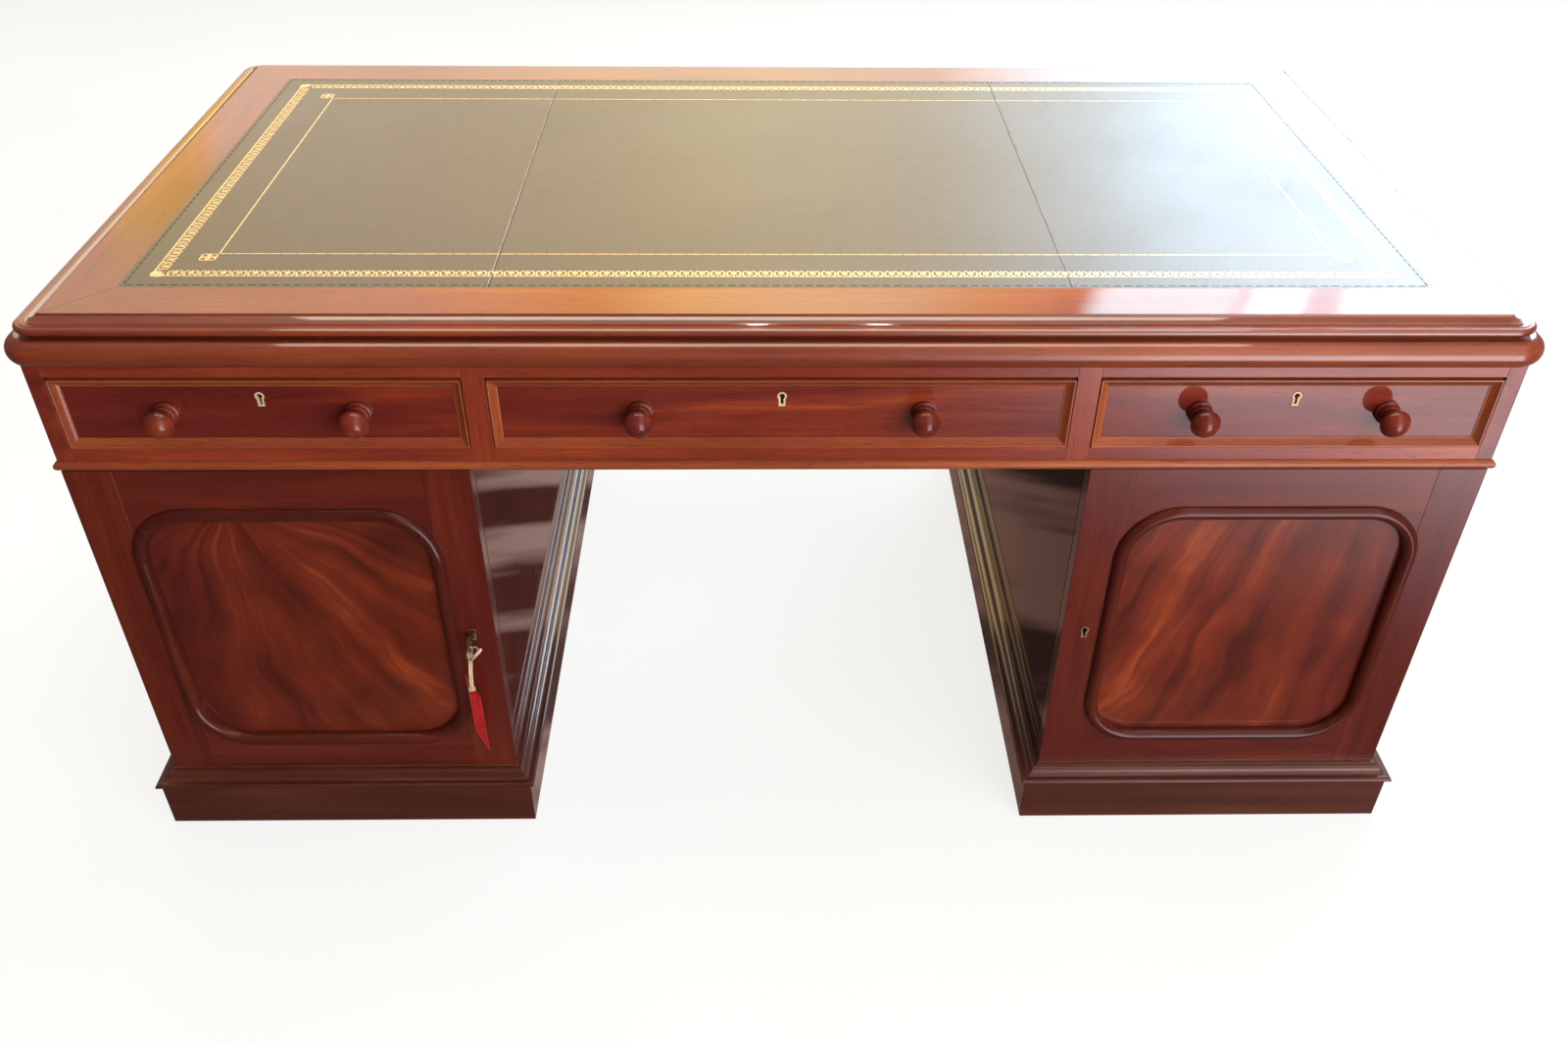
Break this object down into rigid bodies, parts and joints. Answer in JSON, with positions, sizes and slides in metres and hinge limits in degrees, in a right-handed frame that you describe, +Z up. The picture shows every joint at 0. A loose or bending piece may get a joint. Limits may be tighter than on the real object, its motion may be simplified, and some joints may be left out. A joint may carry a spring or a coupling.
{
  "type": "pedestal desk",
  "caption": "Mahogany pedestal desk with a moulded green-leather top, frieze drawers with turned knobs, and cupboard pedestals with round-cornered panelled doors, locks and a tagged key.",
  "frame": {"origin": "on the floor, in the middle of the whole desk's length and depth, knobs included", "axes": "+X to the right as seen from the front, +Y to the back, +Z up; drawers and doors face -Y"},
  "size_m": [1.765, 0.9745, 0.79],
  "materials": {
    "mahogany": "french polished, satin gloss",
    "lining": "planed, waxed",
    "leather": "waxed, gold tooled border",
    "brass": "old polished brass",
    "steel": "dark, worn",
    "string": "twisted cotton",
    "tag": "red card"
  },
  "bodies": {
    "desk": {"top_border": "mahogany", "top_core": "lining", "leather_skins": "leather", "cushion_moulding": "mahogany", "frieze_bead": "mahogany", "frieze_ends": "mahogany", "frieze_back": "mahogany", "frieze_rails": "mahogany", "drawer_partitions": "mahogany", "drawer_runners": "lining", "locating_pegs": "lining", "fixed_hinge_leaves": "brass", "left_pedestal_outer_side": "mahogany", "left_pedestal_inner_side": "mahogany", "left_pedestal_back": "mahogany", "left_pedestal_boards": "mahogany", "left_plinth": "mahogany", "right_pedestal_outer_side": "mahogany", "right_pedestal_inner_side": "mahogany", "right_pedestal_back": "mahogany", "right_pedestal_boards": "mahogany", "right_plinth": "mahogany"},
    "left_drawer": {"left_drawer_front": "mahogany", "left_drawer_box": "lining", "left_drawer_moulding": "mahogany", "left_drawer_knobs": "mahogany", "left_drawer_escutcheon": "brass", "left_drawer_lock": "brass"},
    "centre_drawer": {"centre_drawer_front": "mahogany", "centre_drawer_box": "lining", "centre_drawer_moulding": "mahogany", "centre_drawer_knobs": "mahogany", "centre_drawer_escutcheon": "brass", "centre_drawer_lock": "brass"},
    "right_drawer": {"right_drawer_front": "mahogany", "right_drawer_box": "lining", "right_drawer_moulding": "mahogany", "right_drawer_knobs": "mahogany", "right_drawer_escutcheon": "brass", "right_drawer_lock": "brass"},
    "left_door": {"left_door_frame": "mahogany", "left_door_panel": "mahogany", "left_door_moulding": "mahogany", "left_door_hinge_leaves": "brass", "left_door_escutcheon": "brass", "left_door_lock": "brass"},
    "right_door": {"right_door_frame": "mahogany", "right_door_panel": "mahogany", "right_door_moulding": "mahogany", "right_door_hinge_leaves": "brass", "right_door_escutcheon": "brass", "right_door_lock": "brass"},
    "left_drawer_bolt": {"left_drawer_bolt": "steel"},
    "centre_drawer_bolt": {"centre_drawer_bolt": "steel"},
    "right_drawer_bolt": {"right_drawer_bolt": "steel"},
    "left_door_bolt": {"left_door_bolt": "steel"},
    "right_door_bolt": {"right_door_bolt": "steel"},
    "key": {"key": "steel"},
    "tag": {"key_string": "string", "key_tag": "tag"}
  },
  "joints": [
    {"name": "left_drawer_slide", "type": "slide", "parent": "desk", "child": "left_drawer", "axis": [0, -1, 0], "range_m": [0, 0.4]},
    {"name": "centre_drawer_slide", "type": "slide", "parent": "desk", "child": "centre_drawer", "axis": [0, -1, 0], "range_m": [0, 0.4]},
    {"name": "right_drawer_slide", "type": "slide", "parent": "desk", "child": "right_drawer", "axis": [0, -1, 0], "range_m": [0, 0.4]},
    {"name": "left_door_swing", "type": "hinge", "parent": "desk", "child": "left_door", "pos_m": [-0.8621, -0.42855, 0.3445], "axis": [0, 0, -1], "range_deg": [0, 170]},
    {"name": "right_door_swing", "type": "hinge", "parent": "desk", "child": "right_door", "pos_m": [0.8621, -0.42855, 0.3445], "axis": [0, 0, 1], "range_deg": [0, 170]},
    {"name": "left_drawer_bolt_slide", "type": "slide", "parent": "left_drawer", "child": "left_drawer_bolt", "axis": [0, 0, 1], "range_m": [0, 0.009]},
    {"name": "centre_drawer_bolt_slide", "type": "slide", "parent": "centre_drawer", "child": "centre_drawer_bolt", "axis": [0, 0, 1], "range_m": [0, 0.009]},
    {"name": "right_drawer_bolt_slide", "type": "slide", "parent": "right_drawer", "child": "right_drawer_bolt", "axis": [0, 0, 1], "range_m": [0, 0.009]},
    {"name": "key_turn", "type": "hinge", "parent": "left_door", "child": "key", "pos_m": [-0.404, -0.47575, 0.342], "axis": [0, 1, 0], "range_deg": [0, 90]},
    {"name": "left_door_bolt_slide", "type": "slide", "parent": "left_door", "child": "left_door_bolt", "axis": [1, 0, 0], "range_m": [0, 0.009]},
    {"name": "right_door_bolt_slide", "type": "slide", "parent": "right_door", "child": "right_door_bolt", "axis": [-1, 0, 0], "range_m": [0, 0.009]},
    {"name": "tag_hang", "type": "hinge", "parent": "key", "child": "tag", "pos_m": [-0.404, -0.47575, 0.3335], "axis": [0, 1, 0], "range_deg": [-90, 0]}
  ],
  "couplings": [
    {"joint": "left_door_bolt_slide", "follows": "key_turn", "m_per_rad": 0.0057295},
    {"joint": "tag_hang", "follows": "key_turn", "ratio": -1}
  ]
}
